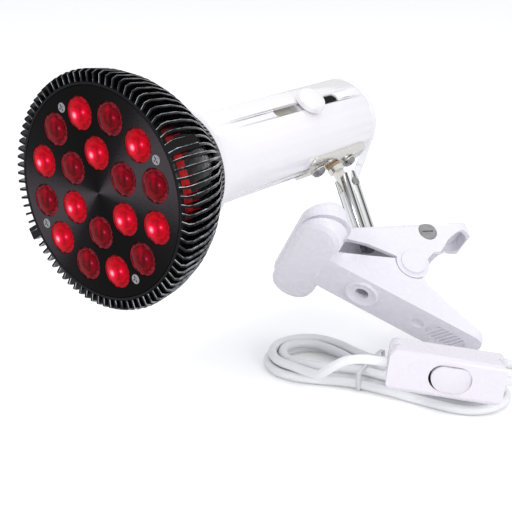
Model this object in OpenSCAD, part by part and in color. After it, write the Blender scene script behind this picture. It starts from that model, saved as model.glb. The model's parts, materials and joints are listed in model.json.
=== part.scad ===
/* [Lamp tube] */
// Outside diameter of the lamp tube
tube_d = 50.7; // [50.7:0.1:56]
// Wall of the lamp tube
tube_wall = 1.5; // [1:0.1:1.8]
// Distance from the back of the bell to the mouth of the tube
tube_setback = 10; // [8:0.5:14]
// Length of the tube without its cap
tube_len = 139; // [136:1:170]
// Thickness of the rear cap
cap_t = 4; // [3:0.5:6]
// Width of the slot that the knob runs in
slot_w = 5.8; // [5.6:0.1:7]
// Length of the slot from end to end
slot_len = 60; // [54:1:70]
// Diameter of the slide knob
knob_d = 17.5; // [14:0.5:20]

/* [Bulb] */
// Largest diameter of the finned bell
bell_d = 123; // [120:1:126]
// Depth of the finned bell
bell_depth = 58; // [56:0.5:60]
// Number of cooling fins
fin_count = 84; // [48:1:96]
// Thickness of a cooling fin
fin_t = 1.3; // [1:0.1:1.6]
// Diameter of the face plate
plate_d = 107.2; // [105:0.2:107.6]
// Thickness of the face plate
plate_t = 2; // [1.5:0.1:2.5]
// Diameter of a lens where it shows
lens_d = 17.2; // [15:0.1:17.4]
// Lenses on the outer ring
outer_count = 12; // [10:2:12]
// Lenses on the inner ring
inner_count = 6; // [4:2:6]
// Radius of the outer ring of lenses
outer_ring = 40.3; // [40:0.1:42]
// Radius of the inner ring of lenses
inner_ring = 20.4; // [19.6:0.1:20.6]
// Outside diameter of the screw cap of the bulb
shell_d = 26.6; // [26.2:0.1:26.8]

/* [Knuckle and barrel] */
// Distance from the mouth of the tube to the knuckle
hub_setback = 106.5; // [104:0.5:108]
// Distance from the axis of the tube to the knuckle pin
pin_drop = 43.5; // [42:0.5:50]
// Lean of the barrel from square to the tube
lean = 25; // [10:1:35]
// Diameter of the swivel barrel
barrel_d = 14; // [12.5:0.5:16]
// Length of the barrel from the pin to its foot
barrel_len = 34; // [30:1:40]
// Thickness of the tongue in the barrel
tongue_t = 3.4; // [3:0.1:4]
// Diameter of the knuckle pin
pin_d = 3; // [2.5:0.1:3.5]
// Diameter of the stud under the barrel
stud_d = 6; // [5:0.5:7]

/* [Clamp] */
// Turn of the clamp about the barrel
clamp_turn = 72.5; // [60:0.5:85]
// Width of the two arms
arm_w = 26; // [26:0.5:30]
// Wall of the two arms
arm_wall = 2.5; // [2:0.1:2.8]
// Length of the two jaws, across the arms
jaw_len = 74; // [60:1:90]
// Thickness of the soft jaw pads
pad_t = 1.2; // [1:0.1:1.6]
// Diameter of the pivot pin
pivot_d = 4; // [3:0.5:5]
// Diameter of the spring wire
wire_d = 1.6; // [1.2:0.1:1.7]

/* [Switch and cord] */
// Length of the cord switch
switch_len = 60; // [58:1:64]
// Height of the face of the switch
switch_h = 23; // [22:0.5:26]
// Thickness of the switch
switch_t = 19; // [18:0.5:20]
// Diameter of the cord
cord_d = 5; // [4.6:0.1:5]
// Step between neighbouring turns of the hank
hank_step = 6; // [6:0.1:6.4]
// Diameter of the plug pins
plug_pin_d = 4; // [3.8:0.1:4.8]
// Length of the plug pins
plug_pin_len = 19; // [18:0.5:20]

/* [Hidden] */
$fn = 96;
eps = 0.01;
gap = 0.3;
fit = 0.05;
snug = 0.1;

// Tube and slot
tube_r = tube_d / 2;
bore_r = tube_r - tube_wall;
tube_front = bell_depth + tube_setback;
tube_back = tube_front + tube_len;
slot_front = tube_front + 55;
slot_angle = -54.7;
hinge_angle = 45;
knob_z = tube_front + 87;
knob_r = knob_d / 2;
knob_t = 6.5;
stem_r = slot_w / 2 - 0.15;

// Bulb, measured back from its face
bell_r = bell_d / 2;
plate_r = plate_d / 2;
cup_gap = 0.4;
rim_r = plate_r + cup_gap;
lens_r = lens_d / 2;
lens_flange_r = lens_r + 0.8;
lens_flange_t = 1.2;
cup_end = 12;
board_t = 1.6;
board_back = cup_end + board_t;
board_r = rim_r - 1.6;
emitter_w = 5;
emitter_t = 1.2;
screw_ring = 46.3;
screw_r = 1.5;
screw_head_r = 2.5;
screw_len = 20;
fin_depth = 5;
fin_from = bell_r - 36.5;
sink_wall = 4;
sink_back = board_back + 8;
neck_t = 2;
neck_flange_r = 33;
neck_cone_r = 24;
neck_cone_z = tube_front - 0.5;
neck_r = 20;
neck_back = tube_front + 27;
spigot_r = shell_d / 2 - 0.9;
shell_r = shell_d / 2;
shell_wall = 0.8;
shell_len = 27;
shell_back = neck_back + shell_len;
insulator_back = shell_back + 11;
contact_back = insulator_back + 2;
wire_hole_r = 6;
driver_w = 2 * (neck_r - neck_t) - 0.4;
driver_len = neck_back - bell_depth - 5;

// Socket on its carriage
socket_front = neck_back + 1;
socket_r = 19.5;
socket_floor = shell_back + 17;
socket_shell_t = 0.5;
socket_bore_r = shell_r + gap + socket_shell_t + snug;
socket_back = shell_back + 24;
carriage_r = bore_r - fit;
carriage_len = 16;
carriage_wall = 4;

// Knuckle
hub_y = tube_front + hub_setback;
plate_metal = 1.5;
hinge_r = tube_r + fit;
hinge_out = hinge_r + plate_metal;
hinge_len = 55;
hinge_w = 22;
hinge_corner = 5;
hinge_screw_gap = 31;
hinge_screw_r = 2;
washer_t = 0.8;
washer_r = 4.75;
pan_r = 4;
pan_t = 2.6;
nut_t = 2;
collar_r = 5;
collar_t = 3;
tongue_w = 7.6;
tongue_end_r = 4.5;
cheek_top = 7.7;
slot_play = 0.2;
pin_r = pin_d / 2;
pin_head_r = pin_r + 1.2;
pin_head_t = 0.8;
barrel_r = barrel_d / 2;
stud_r = stud_d / 2;
stud_in_barrel = 14;
washer_h = 1.3;
nut_h = 5;
stud_nut_r = stud_r + 2.5;

// Clamp, in its own frame: barrel axis and top of the upper arm, x to the handles
half_w = arm_w / 2;
inner_w = half_w - arm_wall;
top_t = arm_wall + 0.1;
pivot_x = 17;
pivot_z = -26.5;
pivot_r = pivot_d / 2;
ear_r = 10;
ear_gap = 0.8;
lower_ear_r = 9.6;
lower_ear_in = inner_w - gap - arm_wall;
lower_tip = 83.6;
pivot_head_r = 7.3;
pivot_head_t = 1.2;
jaw_angle = 18.5;
lower_angle = 37;
jaw_r = 13.25;
jaw_y = jaw_len / 2 - jaw_r;
mouth_x = -38;
mouth_z = -9;
lower_x = -22.9;
lower_z = -30.3;
jaw_gap = 0.15;
handle_x = 33.5;
handle_z = -6.2;
handle_r = 5.8;
handle_tip = 64.3;
tip_corner = 9;
hollow_from = -22;
coil_r = 5;
wire_r = wire_d / 2;
wire_step = wire_d + 0.5;
spring_turns = 4;

// Outline of the upper arm, x and z
upper_pts = [[-30, 0], [61, 0], [64.2, -2.5], [handle_tip, -7.3], [62.4, -9.5], [56.6, -6.2],
    [51.8, -8], [44.8, -12.5], [37.4, -20.3], [32.7, -20.5], [26.5, -25], [17, -30],
    [7.3, -21.1], [-0.2, -16.7], [-8.3, -12.2], [-19.1, -8.5], [-30, -7.5]];
// Outline of the lower arm, along its underside and up from it
lower_pts = [[-20, 1], [-10, 0], [lower_tip, 0], [lower_tip, 2], [81, 5.2], [74, 7],
    [62, 11], [55.3, 12.7], [48.6, 16], [43, 17.2], [38, 22], [20, 24.2], [6.2, 17],
    [-8.8, 9.4], [-20, 5]];

// Where the lamp sits: the middle of the jaw mouth is the origin
function turn_x(p, a) = [p.x, p.y * cos(a) - p.z * sin(a), p.y * sin(a) + p.z * cos(a)];
function turn_y(p, a) = [p.x * cos(a) + p.z * sin(a), p.y, -p.x * sin(a) + p.z * cos(a)];
function turn_z(p, a) = [p.x * cos(a) - p.y * sin(a), p.x * sin(a) + p.y * cos(a), p.z];
foot_drop = barrel_len + washer_h;
mouth_at_arm = turn_z([mouth_x, 0, mouth_z], clamp_turn) - [0, 0, foot_drop];
mouth_at_pin = turn_x(mouth_at_arm, -lean) - [0, 0, pin_drop];
mouth = turn_y(mouth_at_pin, -hinge_angle) + [0, hub_y, 0];

// Cord: the floor that it lies on, and its route by hand
floor_z = -64.5;
cord_r = cord_d / 2;
cord_z = floor_z + cord_r;
sleeve_x = -8;
sleeve_drop = 6;
sleeve_len = 20;
sleeve_r = 5;
sleeve_tip_r = cord_r + 0.9;
sleeve_end = tube_back + cap_t + sleeve_len;
sides = 8;

// Switch: its lower right front corner, its heading and how it is propped up
switch_heading = 33;
switch_tilt = 7;
switch_at = [129.5, -10, floor_z + 11.9];
switch_corner = 5;
rocker_len = 21;
rocker_w = 13.5;
rocker_dome = 32;
rocker_tilt = 5;
plug_sleeve = 24;
plug_len = 34;
plug_pin_gap = 18.6;

// Hank: middle of its waist, its heading, its two halves and how far their ends sway back
hank_at = [45.4, -3.5];
hank_turn = 11;
hank_left = 38;
hank_right = 55;
hank_sway = [1.5, 4.5];
hank_inner = 13.5;
hank_pull = 9;
hank_lift = 0.9;
hank_layer = cord_d + 0.5;
hank_mid = 36;
hank_first = 3;
hank_last = 87;
hank_sides = 6;
turn_rings = 24;
tie_w = 2.4;
tie_t = 0.5;
tie_lift = 0.1;

function lobe(j) = j <= 3 ? 90 : j <= 9 ? 90 + 30 * (j - 3) : j <= 15 ? 270 : j <= 21
    ? 270 + 30 * (j - 15) : 450;
function run_share(j) = j <= 3 ? -j / 3 : j <= 9 ? -1 : j <= 12 ? -(12 - j) / 3 : j <= 15
    ? (j - 12) / 3 : j <= 21 ? 1 : (24 - j) / 3;
function half_run(s) = s < 0 ? hank_left : hank_right;
function drawn_in(s) = hank_pull * (1 + cos(180 * s)) / 2;
function climb(i) = min(1, max(0, (i - hank_mid + 6) / 12));
function sway(s) = hank_sway[s < 0 ? 0 : 1] * (1 - cos(180 * s)) / 2;
function hank_flat(j, s, r) = [s * half_run(s) + r * cos(lobe(j)),
    (drawn_in(s) - r) * sin(lobe(j)) + sway(s)];
function hank_radius(i) = hank_inner + hank_step * abs(i - hank_mid) / turn_rings;
function hank_level(i) = floor_z + hank_lift + cord_r + hank_layer * (1 - climb(i));
function hank_place(q, z) = let (t = turn_z([q.x, q.y, 0], hank_turn))
    [hank_at.x + t.x, hank_at.y + t.y, z];
function hank_point(i) = let (j = i % turn_rings, s = run_share(j))
    hank_place(hank_flat(j, s, hank_radius(i)), hank_level(i));
hank_pts = [for (i = [hank_first:hank_last]) hank_point(i)];
hank_start = hank_pts[0];
hank_end = hank_pts[len(hank_pts) - 1];
function unit(v) = v / norm(v);
start_dir = unit(hank_pts[1] - hank_start);
end_dir = unit(hank_end - hank_pts[len(hank_pts) - 2]);

// Places on the cord switch, from its own frame: x to the right, y to its back, z up
function switch_out(p) = turn_z(turn_y(p, switch_tilt), switch_heading) + switch_at;
switch_axis = switch_out([1, 0, 0]) - switch_at;
switch_left = switch_out([-switch_len, switch_t / 2, switch_h / 2]);
switch_right = switch_out([0, switch_t / 2, switch_h / 2]);

// Route of the lamp's cord, from its sleeve to the switch
lamp_exit = [sleeve_x, sleeve_end, -sleeve_drop] - mouth;
lamp_route = [lamp_exit, lamp_exit + [0, cord_d, 0], [-48.3, 121, 50.2], [-48.9, 129.4, 46.8],
    [-50.5, 135.4, 40], [-53.2, 138, 31.4], [-55.8, 137.4, 22.2], [-57.2, 134, 13.5],
    [-56.5, 127, 3], [-51, 116, -11], [-41, 105.5, -26], [-26, 95, -40.5], [-8, 85.5, -52],
    [13, 77, -59.5], [35, 70, -61.7], [55, 64.5, -61.7], [75, 61, -61.7], [95, 60, -61.7],
    [113, 61.5, -61.5], [128, 61, -60], [141.5, 57, -56.5], [151.5, 47, -52.5],
    [155.5, 33, -49], [151.5, 19.5, -46], switch_right + 4 * cord_d * switch_axis,
    switch_right + 2 * cord_d * switch_axis, switch_right + cord_d * switch_axis, switch_right];
// Route of the short cord from the switch to the hank
link_route = [switch_left, switch_left - cord_d * switch_axis, [64, -40.3, -33],
    [56, -42.8, -35.3], [48.5, -42.7, -40.5], [41, -40, -46.7], [33.5, -36, -52.3],
    [25, -32.5, -55], hank_start - cord_d * start_dir, hank_start];
// Route of the cord from the hank to the plug
plug_route = [hank_end, hank_end + cord_d * end_dir, [106, 42.2, -61.3], [118, 46.2, -61.7],
    [132, 48.3, -61.7], [146, 48.2, -61.4], [158, 47, -60], [170, 45.5, -58.5],
    [182, 44, -58], [190, 43, -58]];
plug_at = plug_route[len(plug_route) - 1];
plug_dir = plug_at - plug_route[len(plug_route) - 2];
plug_turn = atan2(plug_dir.y, plug_dir.x);

// A tube swept along points, its rings square to the path and never twisted
function carried(v, t) = unit(v - (v * t) * t);
function heading(p, i) = unit(p[min(i + 1, len(p) - 1)] - p[max(i - 1, 0)]);
function frames(p, i = 0, v = [0, 0, 1]) = i == len(p) ? []
    : let (n = carried(v, heading(p, i))) concat([n], frames(p, i + 1, n));
function ring(c, t, n, r, sides) = [for (k = [0:sides - 1])
    let (a = 360 * k / sides) c + r * (cos(a) * n + sin(a) * cross(t, n))];
function band(i, k, sides) = let (a = i * sides, b = (k + 1) % sides)
    [[a + k, a + sides + b, a + b], [a + k, a + sides + k, a + sides + b]];
function fan(first, sides, back) = [for (k = [1:sides - 2])
    back ? [first, first + k, first + k + 1] : [first, first + k + 1, first + k]];

module swept(p, r, sides, up = [0, 0, 1]) {
    n = frames(p, 0, up);
    pts = [for (i = [0:len(p) - 1]) each ring(p[i], heading(p, i), n[i], r, sides)];
    body = [for (i = [0:len(p) - 2]) each [for (k = [0:sides - 1]) each band(i, k, sides)]];
    last = (len(p) - 1) * sides;
    polyhedron(pts, concat(fan(0, sides, true), body, fan(last, sides, false)));
}

// Smooth curve through chosen points, with the same number of steps in every span
function blend(a, b, c, d, t) = 0.5 * (2 * b + t * (c - a) + t * t * (2 * a - 5 * b + 4 * c - d)
    + t * t * t * (3 * b - a - 3 * c + d));
// and a straight span at either end
function smooth(p, steps) = concat([for (i = [0:len(p) - 2]) each [for (k = [0:steps - 1])
    i == 0 || i == len(p) - 2 ? p[i] + (p[i + 1] - p[i]) * k / steps
        : blend(p[i - 1], p[i], p[i + 1], p[i + 2], k / steps)]], [p[len(p) - 1]]);

// Frames of the four groups
module in_lamp() translate(-mouth) children();
module axial() in_lamp() rotate([-90, 0, 0]) children();
module in_bracket() in_lamp() translate([0, hub_y, 0]) rotate([0, -hinge_angle, 0]) children();
module in_knuckle() in_bracket() translate([0, 0, -pin_drop]) rotate([-lean, 0, 0]) children();
module in_clamp() in_knuckle() translate([0, 0, -foot_drop]) rotate([0, 0, clamp_turn])
    children();
module in_lower() in_clamp() translate([lower_x, 0, lower_z]) rotate([0, lower_angle, 0])
    children();
module in_mouth() in_clamp() translate([mouth_x, 0, mouth_z]) rotate([0, jaw_angle, 0])
    children();
module in_switch() translate(switch_at) rotate([0, switch_tilt, switch_heading]) children();
module in_plug() translate(plug_at) rotate([0, 0, plug_turn]) rotate([0, 90, 0]) children();

// Helpers
module ring_of(r1, r2, h) difference() {
    cylinder(r = r1, h = h);
    translate([0, 0, -eps]) cylinder(r = r2, h = h + 2 * eps);
}
module across(w) rotate([90, 0, 0]) translate([0, 0, -w / 2]) linear_extrude(w) children();
module stadium(l, w) {
    square([l - w, w], center = true);
    for (s = [-1, 1]) translate([s * (l - w) / 2, 0]) circle(r = w / 2);
}
module rounded(w, h, r) {
    square([w - 2 * r, h], center = true);
    square([w, h - 2 * r], center = true);
    for (i = [-1, 1], j = [-1, 1]) translate([i * (w / 2 - r), j * (h / 2 - r)]) circle(r = r);
}

// Lens places: the outer ring starts at the top of the face, the inner ring between two
face_angle = -105.66;
outer_angles = [for (i = [0:outer_count - 1]) face_angle + 360 * i / outer_count];
inner_angles = [for (i = [0:inner_count - 1]) face_angle + 15 + 360 * i / inner_count];
function spots(angles, r, from) = [for (i = [from:2:len(angles) - 1])
    [r * cos(angles[i]), r * sin(angles[i])]];
lit_spots = concat(spots(outer_angles, outer_ring, 0), spots(inner_angles, inner_ring, 0));
clear_spots = concat(spots(outer_angles, outer_ring, 1), spots(inner_angles, inner_ring, 1));
all_spots = concat(lit_spots, clear_spots);
module at_spots(list) for (p = list) translate([p.x, p.y, 0]) children();
module at_screws() for (i = [0:3]) rotate([0, 0, face_angle - 15 + 90 * i])
    translate([screw_ring, 0, 0]) children();

module face_plate() color("dimgray") axial() difference() {
    cylinder(r = plate_r, h = plate_t);
    at_spots(all_spots) translate([0, 0, -eps]) cylinder(r = lens_r + 0.15, h = plate_t + 2 * eps);
    at_screws() {
        translate([0, 0, -eps]) cylinder(r = screw_r + snug, h = plate_t + 2 * eps);
        translate([0, 0, -eps]) cylinder(r = screw_head_r + snug, h = 1 + eps);
    }
}

module face_screws() color("silver") axial() at_screws() difference() {
    union() {
        cylinder(r = screw_head_r, h = 1);
        cylinder(r = screw_r, h = screw_len);
    }
    for (a = [0, 90]) rotate([0, 0, a]) translate([-1.8, -0.35, -eps]) cube([3.6, 0.7, 0.6]);
}

module lens() difference() {
    rotate_extrude() polygon([[0, -1], [lens_r * 0.55, -0.7], [lens_r, 0], [lens_r, plate_t],
        [lens_flange_r, plate_t], [lens_flange_r, plate_t + lens_flange_t],
        [lens_r - 0.6, plate_t + lens_flange_t], [4, 10.5], [0, 10.5]]);
    translate([0, 0, 7.5]) cylinder(r = 2, h = 4);
}
module lenses_lit() color("red") axial() at_spots(lit_spots) lens();
module lenses_clear() color("darkred") axial() at_spots(clear_spots) lens();

module lens_cups() color("black") axial() at_spots(all_spots)
    translate([0, 0, plate_t + lens_flange_t])
        ring_of(lens_flange_r, lens_flange_r - 0.6, cup_end - plate_t - lens_flange_t);

module led_emitters() color("gold") axial() at_spots(all_spots)
    translate([-emitter_w / 2, -emitter_w / 2, cup_end - emitter_t])
        cube([emitter_w, emitter_w, emitter_t]);

module led_board() color("white") axial() difference() {
    translate([0, 0, cup_end]) cylinder(r = board_r, h = board_t);
    at_screws() translate([0, 0, cup_end - eps]) cylinder(r = screw_r + gap, h = board_t + 1);
    translate([0, 0, cup_end - eps]) cylinder(r = wire_hole_r - 2, h = board_t + 1);
}

// The bell: fins stand on a hollow core and share its outline
function bell_back(d) = [[bell_r - 5 - d, 24], [bell_r - 9.5 - d, 32], [bell_r - 15.5 - d, 40],
    [bell_r - 26 - d, 53], [bell_r - 28.5 - d, bell_depth]];
module bell_outline(d) polygon(concat([[0, 0], [bell_r - 1.2 - d, 0], [bell_r - d, 3],
    [bell_r - 1.5 - d, 14]], bell_back(d), [[0, bell_depth]]));
module bell_cavity(d) polygon(concat([[0, sink_back], [bell_r - 4 - d, sink_back]],
    bell_back(d), [[bell_r - 28.5 - d, bell_depth + 1], [0, bell_depth + 1]]));
module heat_sink() color("black") axial() difference() {
    union() {
        rotate_extrude() bell_outline(fin_depth);
        intersection() {
            rotate_extrude() bell_outline(0);
            linear_extrude(bell_depth) for (i = [0:fin_count - 1]) rotate([0, 0, 360 * i / fin_count])
                translate([fin_from, -fin_t / 2]) square([bell_r + 2 - fin_from, fin_t]);
        }
        for (a = [148.5, -31.5]) rotate([0, 0, a]) translate([bell_r - 8, -3.25, 0])
            cube([8.4, 6.5, 15]);
    }
    translate([0, 0, -eps]) cylinder(r = rim_r, h = board_back + eps);
    translate([0, 0, board_back - eps]) cylinder(r = wire_hole_r, h = sink_back);
    rotate_extrude() bell_cavity(fin_depth + sink_wall);
    at_screws() translate([0, 0, board_back - eps])
        cylinder(r = screw_r + fit, h = screw_len - board_back + 0.5);
}

module bulb_neck() color("white") axial() rotate_extrude() polygon([[neck_flange_r, bell_depth],
    [neck_flange_r, bell_depth + 3], [neck_cone_r + 2, neck_cone_z - 1.5],
    [neck_cone_r, neck_cone_z], [neck_r, neck_cone_z], [neck_r, neck_back],
    [spigot_r, neck_back], [spigot_r, neck_back + 8], [spigot_r - neck_t, neck_back + 8],
    [spigot_r - neck_t, neck_back - neck_t], [neck_r - neck_t, neck_back - neck_t],
    [neck_r - neck_t, bell_depth]]);

module driver_board() color("green") axial() {
    translate([-driver_w / 2, -board_t / 2, bell_depth]) cube([driver_w, board_t, driver_len]);
    translate([-10, board_t / 2 - eps, bell_depth + 4]) cube([14, 9, 12]);
    translate([8, board_t / 2 + 4.9, bell_depth + 4]) cylinder(r = 5, h = 14);
    translate([-6, -board_t / 2 - 3 + eps, bell_depth + 8]) cube([12, 3, 8]);
    for (x = [-8, 2]) translate([x, board_t / 2 - eps, bell_depth + 20]) cube([6, 5, 8]);
}

module screw_shell() color("silver") axial() translate([0, 0, neck_back])
    ring_of(shell_r, shell_r - shell_wall, shell_back - neck_back);
module shell_insulator() color("black") axial() rotate_extrude() polygon([[0, shell_back - 3],
    [shell_r - shell_wall - snug, shell_back - 3], [shell_r - shell_wall - snug, shell_back],
    [shell_r - 1.5, shell_back], [6, insulator_back], [0, insulator_back]]);
module centre_contact() color("silver") axial() rotate_extrude() polygon([[0, insulator_back],
    [4.8, insulator_back], [4.2, contact_back], [0, contact_back]]);

module socket_body() color("ivory") axial() difference() {
    translate([0, 0, socket_front]) cylinder(r = socket_r, h = socket_back - socket_front);
    translate([0, 0, socket_front - eps])
        cylinder(r = socket_bore_r, h = shell_back + 4 - socket_front);
    translate([0, 0, shell_back]) cylinder(r = 13.5, h = socket_floor - shell_back);
    for (s = [-1, 1]) translate([s * 11, 0, socket_floor - 1]) cylinder(r = 1.6, h = 10);
}
module socket_shell() color("goldenrod") axial() translate([0, 0, socket_front + 1])
    ring_of(socket_bore_r - snug, shell_r + gap, shell_back + 2 - socket_front);
module socket_contact() color("goldenrod") axial() {
    translate([-3, -3, socket_floor - 1]) cube([6, 6, 1]);
    translate([0, 0, contact_back + snug])
        cylinder(r = 2.2, h = socket_floor - contact_back - 1 - snug + eps);
}
module socket_carriage() color("white") axial() difference() {
    translate([0, 0, socket_back])
        cylinder(r = carriage_r, h = carriage_len);
    translate([0, 0, socket_back + 3])
        cylinder(r = carriage_r - carriage_wall, h = carriage_len);
    translate([0, 0, socket_back - eps]) cylinder(r = 4, h = 5);
    rotate([0, 0, slot_angle]) translate([0, 0, knob_z]) rotate([0, 90, 0])
        cylinder(r = stem_r + fit, h = bore_r + 1);
}
module slide_knob() color("white") axial() rotate([0, 0, slot_angle])
    translate([0, 0, knob_z]) rotate([0, 90, 0]) {
        translate([0, 0, carriage_r - carriage_wall])
            cylinder(r = stem_r, h = tube_r + gap + 1 - carriage_r + carriage_wall);
        translate([0, 0, tube_r + gap]) rotate_extrude() polygon([[0, 0], [knob_r - 0.6, 0],
            [knob_r, 0.6], [knob_r, knob_t - 3], [knob_r - 1, knob_t - 1.4],
            [knob_r - 3, knob_t - 0.4], [3, knob_t], [0, knob_t]]);
    }

module lamp_tube() color("white") axial() difference() {
    translate([0, 0, tube_front]) ring_of(tube_r, bore_r, tube_len);
    rotate([0, 0, slot_angle]) translate([0, 0, slot_front + slot_len / 2]) rotate([0, 90, 0])
        linear_extrude(tube_r + 5) stadium(slot_len, slot_w);
    at_hinge_screws(0) cylinder(r = hinge_screw_r + snug, h = tube_r + 5);
    rotate([0, 0, hinge_angle]) translate([0, 0, hub_y]) rotate([0, 90, 0])
        cylinder(r = 2.5 + snug, h = tube_r + 5);
}
module at_hinge_screws(out) for (s = [-1, 1]) rotate([0, 0, hinge_angle])
    translate([0, 0, hub_y + s * hinge_screw_gap / 2]) rotate([0, 90, 0])
        translate([0, 0, out]) children();

module tube_cap() color("white") axial() difference() {
    union() {
        translate([0, 0, tube_back]) cylinder(r = tube_r, h = cap_t);
        translate([0, 0, tube_back - 4]) ring_of(bore_r - snug, bore_r - 2, 4 + eps);
    }
    translate([sleeve_x, sleeve_drop, tube_back - eps]) cylinder(r = 3.5, h = cap_t + 1);
}
module cord_sleeve() color("whitesmoke") axial() translate([sleeve_x, sleeve_drop, 0])
    rotate_extrude() polygon([[0, tube_back - 2], [sleeve_r, tube_back - 2],
        [sleeve_r, tube_back - eps], [3.5 - snug, tube_back - eps],
        [3.5 - snug, tube_back + cap_t + eps], [sleeve_r, tube_back + cap_t + eps],
        [sleeve_r, tube_back + cap_t + 3], [sleeve_tip_r, sleeve_end], [0, sleeve_end]]);

module hinge_plate() color("silver") axial() difference() {
    intersection() {
        rotate([0, 0, hinge_angle - 40]) rotate_extrude(angle = 80)
            translate([hinge_r, hub_y - hinge_len / 2 - 5])
                square([plate_metal, hinge_len + 10]);
        rotate([0, 0, hinge_angle]) translate([0, 0, hub_y]) rotate([0, 90, 0])
            translate([0, 0, tube_r / 2]) linear_extrude(tube_r)
                rounded(hinge_len, hinge_w, hinge_corner);
    }
    at_hinge_screws(0) cylinder(r = hinge_screw_r + snug, h = tube_r + 10);
    rotate([0, 0, hinge_angle]) translate([0, 0, hub_y]) rotate([0, 90, 0])
        cylinder(r = 2.5 + snug, h = tube_r + 10);
}
module plate_screws() color("lightgray") axial() at_hinge_screws(bore_r + gap) difference() {
    union() {
        cylinder(r = hinge_screw_r, h = hinge_out + washer_t - bore_r);
        translate([0, 0, hinge_out + washer_t - bore_r - gap]) rotate_extrude()
            polygon([[0, 0], [pan_r, 0], [pan_r, pan_t - 1.2], [pan_r - 1, pan_t - 0.3],
                [pan_r - 2, pan_t], [0, pan_t]]);
    }
    for (a = [45, 135]) rotate([0, 0, a])
        translate([-2.2, -0.4, hinge_out + washer_t - bore_r - gap + pan_t - 1])
            cube([4.4, 0.8, 2]);
}
module plate_washers() color("silver") axial() at_hinge_screws(hinge_out)
    ring_of(washer_r, hinge_screw_r + snug, washer_t);
module tongue_nut() color("tan") in_bracket() difference() {
    translate([0, 0, -hinge_out - nut_t]) cylinder(r = collar_r - 0.5, h = nut_t);
    translate([0, 0, -hinge_out - nut_t - eps]) cylinder(r = 2.5 + snug, h = nut_t + 1);
}
module hinge_tongue() color("silver") in_bracket() difference() {
    union() {
        translate([0, 0, -hinge_out - nut_t - collar_t]) cylinder(r = collar_r, h = collar_t);
        translate([0, 0, -hinge_out - nut_t - eps])
            cylinder(r = 2.5, h = hinge_out + nut_t - bore_r - gap);
        translate([-tongue_t / 2, -tongue_w / 2, -pin_drop])
            cube([tongue_t, tongue_w, pin_drop - hinge_out - nut_t - 1]);
        translate([-tongue_t / 2, 0, -pin_drop]) rotate([0, 90, 0])
            cylinder(r = tongue_end_r, h = tongue_t);
    }
    translate([-5, 0, -pin_drop]) rotate([0, 90, 0]) cylinder(r = pin_r + fit, h = 10);
}

module knuckle_pin() color("silver") in_knuckle() rotate([0, 90, 0]) {
    translate([0, 0, -barrel_r + 0.6]) cylinder(r = pin_r, h = barrel_d - 1.2);
    for (s = [-1, 1]) translate([0, 0, s * (barrel_r - 0.2) - pin_head_t / 2])
        cylinder(r = pin_head_r, h = pin_head_t);
}
module swivel_barrel() color("silver") in_knuckle() difference() {
    intersection() {
        translate([0, 0, -barrel_len]) cylinder(r = barrel_r, h = barrel_len + cheek_top);
        union() {
            translate([-barrel_d, -barrel_d, -barrel_len]) cube([2 * barrel_d, 2 * barrel_d,
                barrel_len]);
            translate([-barrel_d, 0, 0]) rotate([0, 90, 0])
                cylinder(r = cheek_top, h = 2 * barrel_d);
        }
    }
    translate([-tongue_t / 2 - slot_play, -barrel_d, -tongue_end_r - 0.4])
        cube([tongue_t + 2 * slot_play, 2 * barrel_d, 3 * cheek_top]);
    translate([-barrel_d, 0, 0]) rotate([0, 90, 0]) cylinder(r = pin_r + 0.02, h = 2 * barrel_d);
    for (s = [0, 180]) rotate([0, 0, s]) translate([barrel_r - 0.7, 0, 0]) rotate([0, 90, 0])
        cylinder(r = pin_head_r + snug, h = 5);
    translate([0, 0, -barrel_len - eps]) cylinder(r = stud_r + fit, h = stud_in_barrel + 0.3);
}

module barrel_washer() color("silver") in_clamp() ring_of(barrel_r + 1.2, stud_r + snug,
    washer_h - 0.02);
module swivel_stud() color("silver") in_clamp()
    translate([0, 0, -top_t - nut_h - 2])
        cylinder(r = stud_r, h = top_t + nut_h + 2 + washer_h + stud_in_barrel);
module stud_nut() color("silver") in_clamp() translate([0, 0, -top_t - nut_h]) difference() {
    cylinder(r = stud_nut_r, h = nut_h, $fn = 6);
    translate([0, 0, -eps]) cylinder(r = stud_r + 0.02, h = nut_h + 1);
}

// A jaw: two round ends with soft edges, joined, and cut off at the closing plane
module jaw_disc(h) rotate_extrude($fn = 32) polygon([[0, 0], [jaw_r - 4, 0],
    [jaw_r - 1.2, 1.2], [jaw_r, 4], [jaw_r, h], [0, h]]);
module jaw_bar(h) hull() for (s = [-1, 1]) translate([0, s * jaw_y, 0]) jaw_disc(h);
module closing_side(up) translate([mouth_x, 0, mouth_z]) rotate([0, jaw_angle, 0])
    translate([-60, -60, up ? pad_t + jaw_gap : -60 - pad_t - jaw_gap]) cube([120, 120, 60]);

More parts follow.
